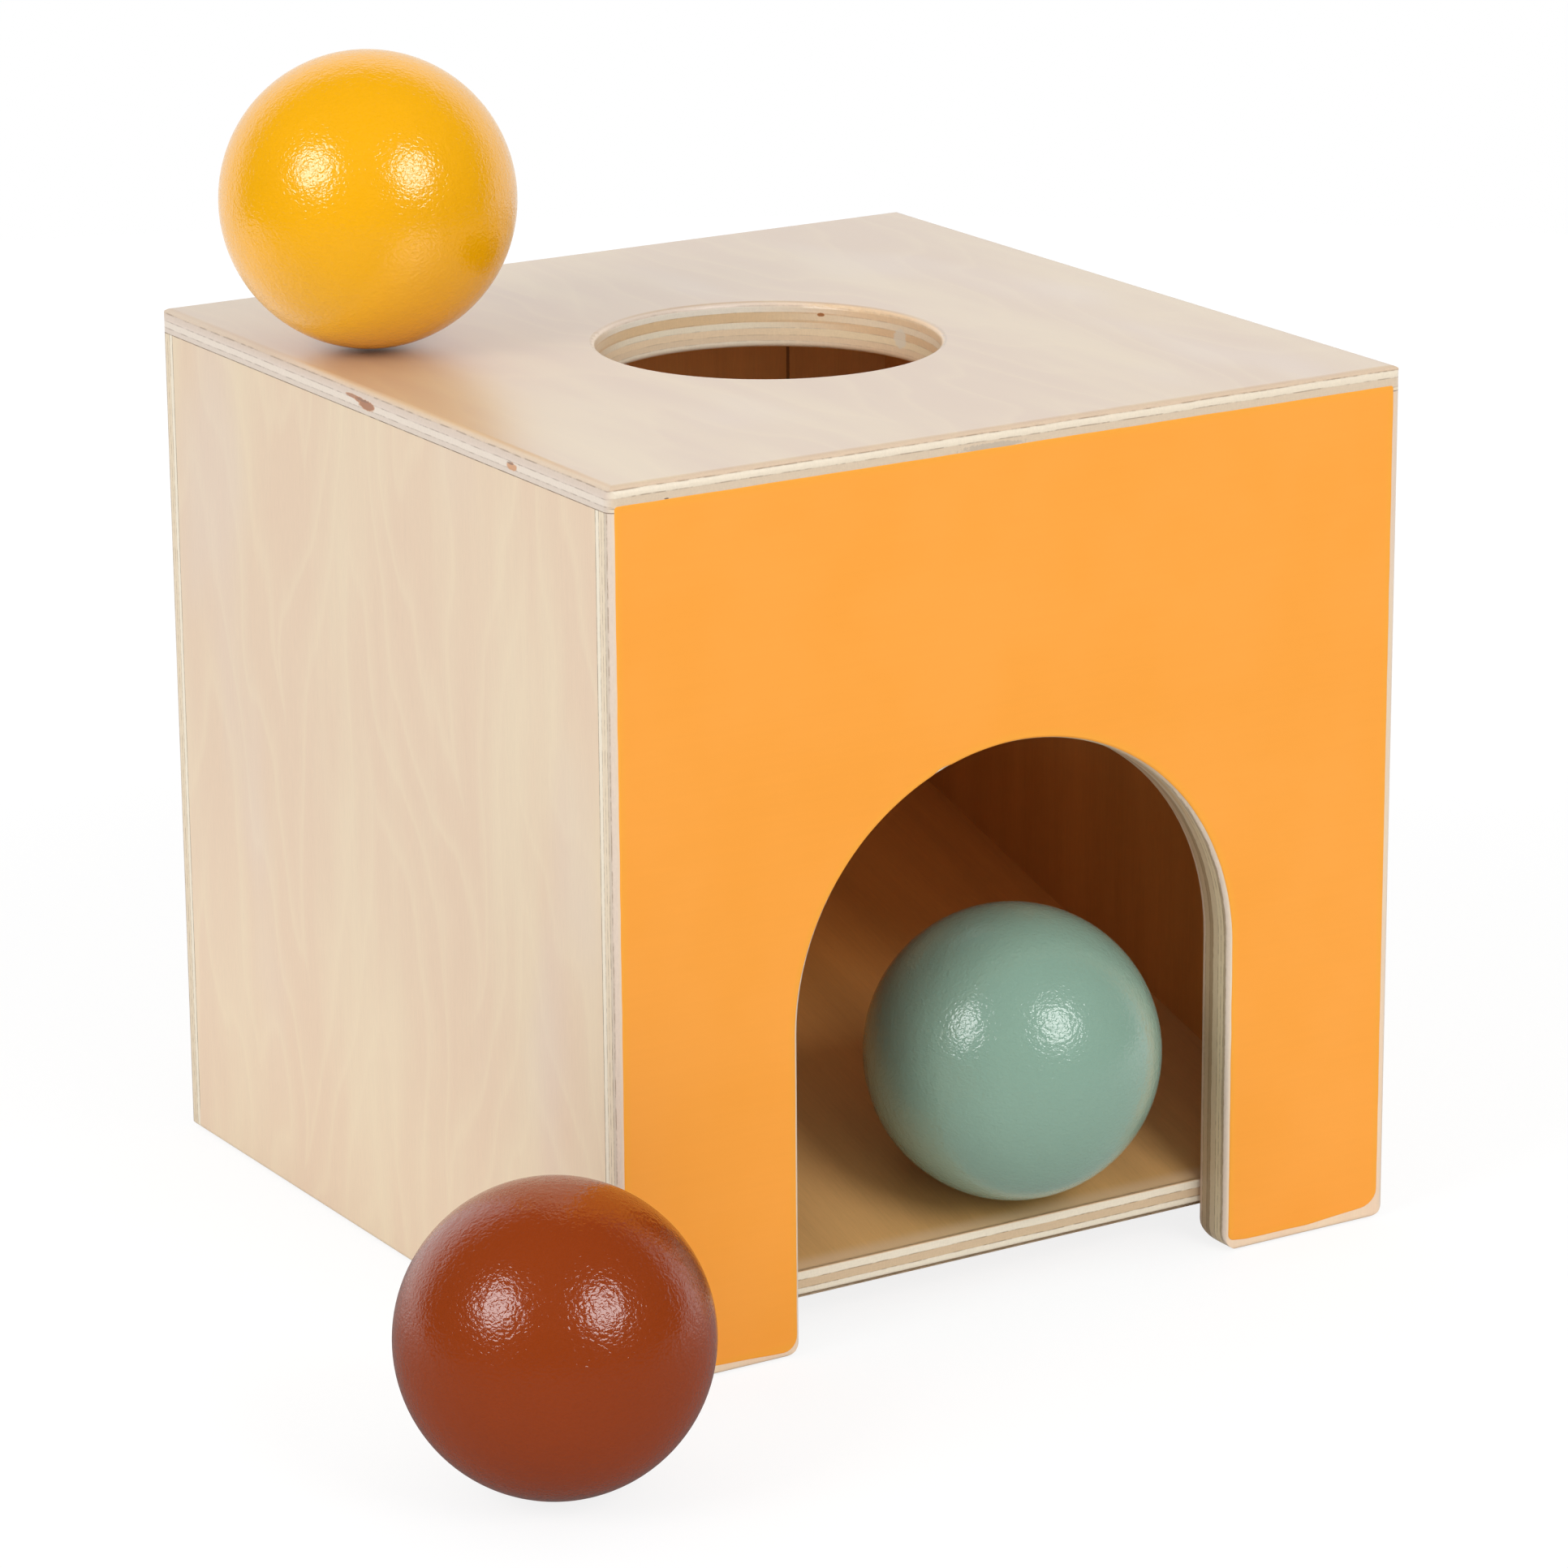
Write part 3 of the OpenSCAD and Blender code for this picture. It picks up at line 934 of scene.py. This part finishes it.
def coat_point(point, direction, inset, rise):
    """A point of the coat, in metres, at an inset from a point of its outline and a rise over the wood."""
    cell = Vector((point.x * COAT_WOBBLE_SCALE, point.y * COAT_WOBBLE_SCALE, COAT_WOBBLE_SEED))
    wobble = COAT_WOBBLE * noise.noise(cell)
    chip = CHIP_DEPTH * max(0.0, 1 - math.dist(point, CHIP_AT) / CHIP_SIZE)
    at = point + direction * (inset + wobble + chip)
    return CORNER + Vector((at.x, face_depth(at.x, at.y) - rise, at.y)) * MM


def close_rings(work, rings):
    """Faces between neighbouring rings, and over the first and last one."""
    for outer, inner in zip(rings, rings[1:]):
        for i in range(len(outer)):
            j = (i + 1) % len(outer)
            work.faces.new((outer[i], outer[j], inner[j], inner[i]))
    work.faces.new(rings[-1])
    work.faces.new(list(reversed(rings[0])))
    work.normal_update()
    bmesh.ops.triangulate(work, faces=[f for f in work.faces if len(f.verts) > 4])
    bmesh.ops.recalc_face_normals(work, faces=work.faces)


def build_coat():
    """The film of paint on the front: a closed thin solid whose border tapers onto the wood."""
    outline = coat_outline()
    directions = inward_of(outline)
    work = bmesh.new()
    rings = []
    for inset, rise in COAT_RINGS:
        places = [coat_point(p, d, inset, rise) for p, d in zip(outline, directions)]
        rings.append([work.verts.new(place) for place in places])
    close_rings(work, rings)
    mesh = bpy.data.meshes.new("orange_coat")
    work.to_mesh(mesh)
    work.free()
    coat = bpy.data.objects.new("orange_coat", mesh)
    bpy.context.scene.collection.objects.link(coat)
    coat.data.materials.append(coat_paint())
    return coat


def dress(node, material):
    """Gives a CAD node its material in place of the plain one."""
    mesh = frame["nodes"][node].data
    mesh.materials.clear()
    mesh.materials.append(material)


def camera_forward():
    """The direction that the camera looks in."""
    azimuth, pitch = math.radians(CAMERA_AZIMUTH), math.radians(CAMERA_PITCH)
    return Vector((
        math.sin(azimuth) * math.cos(pitch),
        math.cos(azimuth) * math.cos(pitch),
        -math.sin(pitch),
    ))


def floor_paint():
    """Pale, white to the camera away from the object, dimmer in mirrors in front of it, clear from below."""
    sh = new_material("floor_white")
    place = sh.node("TexCoord").outputs["Object"]
    shade = sh.varied(1.0, sh.pattern(place, FLOOR_MOTTLE), FLOOR_MOTTLE_SHADE)
    sh.feed(sh.surface.inputs["Base Color"], sh.scaled(FLOOR_COLOUR, shade))
    sh.surface.inputs["Roughness"].default_value = FLOOR_ROUGHNESS
    camera, mirrored = sh.rays()
    away = sh.vector_math("LENGTH", place)
    behind = sh.dot(place, camera_forward())
    seen = sh.math("MULTIPLY", camera, sh.band(away, *FLOOR_WHITE_FADE, FLOOR_WHITE, 1.0))
    mirror = sh.math(
        "MULTIPLY",
        sh.band(behind, *FLOOR_MIRROR_TURN, FLOOR_MIRROR, 1.0),
        sh.band(away, *FLOOR_MIRROR_FADE, FLOOR_MIRROR_NEAR, 1.0),
    )
    glow = sh.between(FLOOR_GLOW, mirror, mirrored)
    white = sh.node("Emission", {"Color": (1.0, 1.0, 1.0, 1.0), "Strength": glow}).outputs[0]
    shares = sh.math("MAXIMUM", seen, mirrored)
    above = sh.node("MixShader", (shares, sh.surface.outputs[0], white)).outputs[0]
    clear = sh.node("BsdfTransparent").outputs[0]
    under = sh.node("NewGeometry").outputs["Backfacing"]
    output = sh.tree.nodes["Material Output"]
    sh.feed(output.inputs["Surface"], sh.node("MixShader", (under, above, clear)).outputs[0])
    return sh.owner


def build_floor():
    """A pale floor that keeps the object's shadow, and fades into the white surrounding."""
    mesh = bpy.data.meshes.new("floor")
    work = bmesh.new()
    bmesh.ops.create_circle(work, cap_ends=True, segments=FLOOR_SEGMENTS, radius=FLOOR_R)
    work.to_mesh(mesh)
    work.free()
    floor = bpy.data.objects.new("floor", mesh)
    floor.location.z = -FLOOR_DROP
    bpy.context.scene.collection.objects.link(floor)
    floor.data.materials.append(floor_paint())


def build_world():
    """White to the camera. Reflections see it white behind the object and dimmer in front, where the studio
    is dark. The fill light is stronger from above."""
    sh = Shader(bpy.data.worlds.new("studio"))
    direction = sh.node("TexCoord").outputs["Generated"]
    camera, mirrored = sh.rays()
    fill = sh.band(sh.parts(direction)["Z"], *AMBIENT_HEIGHTS, AMBIENT_LOW, AMBIENT_HIGH)
    mirror = sh.band(sh.dot(direction, -camera_forward()), *MIRROR_TURN, 1.0, MIRROR_FRONT)
    strength = sh.between(sh.between(fill, mirror, mirrored), 1.0, camera)
    background = sh.tree.nodes["Background"]
    background.inputs["Color"].default_value = (1.0, 1.0, 1.0, 1.0)
    sh.feed(background.inputs["Strength"], strength)
    bpy.context.scene.world = sh.owner


def build_softbox(name, middle, turn):
    """A round softbox that looks at the middle, turned around it from the camera's side."""
    azimuth, elevation = math.radians(CAMERA_AZIMUTH - turn), math.radians(SOFTBOX_ELEVATION)
    away = Vector((
        -math.sin(azimuth) * math.cos(elevation),
        -math.cos(azimuth) * math.cos(elevation),
        math.sin(elevation),
    ))
    data = bpy.data.lights.new(name, "AREA")
    data.shape = "DISK"
    data.size = SOFTBOX_SIZE
    data.energy = SOFTBOX_POWER
    lamp = bpy.data.objects.new(name, data)
    lamp.location = middle + away * SOFTBOX_AWAY
    lamp.rotation_euler = away.to_track_quat("Z", "Y").to_euler()
    lamp.visible_camera = False
    bpy.context.scene.collection.objects.link(lamp)


def build_camera():
    """The photograph's camera: turned by its azimuth, pitched down and rolled."""
    azimuth, roll = math.radians(CAMERA_AZIMUTH), math.radians(CAMERA_ROLL)
    forward = camera_forward()
    level = Vector((math.cos(azimuth), -math.sin(azimuth), 0.0))
    upright = level.cross(forward)
    right = level * math.cos(roll) + upright * math.sin(roll)
    up = right.cross(forward)
    data = bpy.data.cameras.new("camera")
    data.sensor_width = CAMERA_SENSOR
    data.lens = CAMERA_LENS
    data.clip_start = CAMERA_NEAR_M
    camera = bpy.data.objects.new("camera", data)
    rotation = Matrix((right, up, -forward)).transposed().to_4x4()
    camera.matrix_world = Matrix.Translation(CORNER + Vector(CAMERA_AT) * MM) @ rotation
    bpy.context.scene.collection.objects.link(camera)
    bpy.context.scene.camera = camera


for board_name in BOARDS:
    dress(board_name, plywood(board_name))
for ball_name, paint in BALLS.items():
    dress(ball_name, ball_paint(*paint))

coat = build_coat()
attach(coat, "box")

build_floor()
build_world()
box_middle = CORNER + Vector((BOX_W, BOX_D, BOX_H)) * MM / 2
for number, turn in enumerate(SOFTBOX_TURNS):
    build_softbox(f"softbox_{number}", box_middle, turn)
build_camera()
bpy.context.scene.view_settings.view_transform = "Standard"
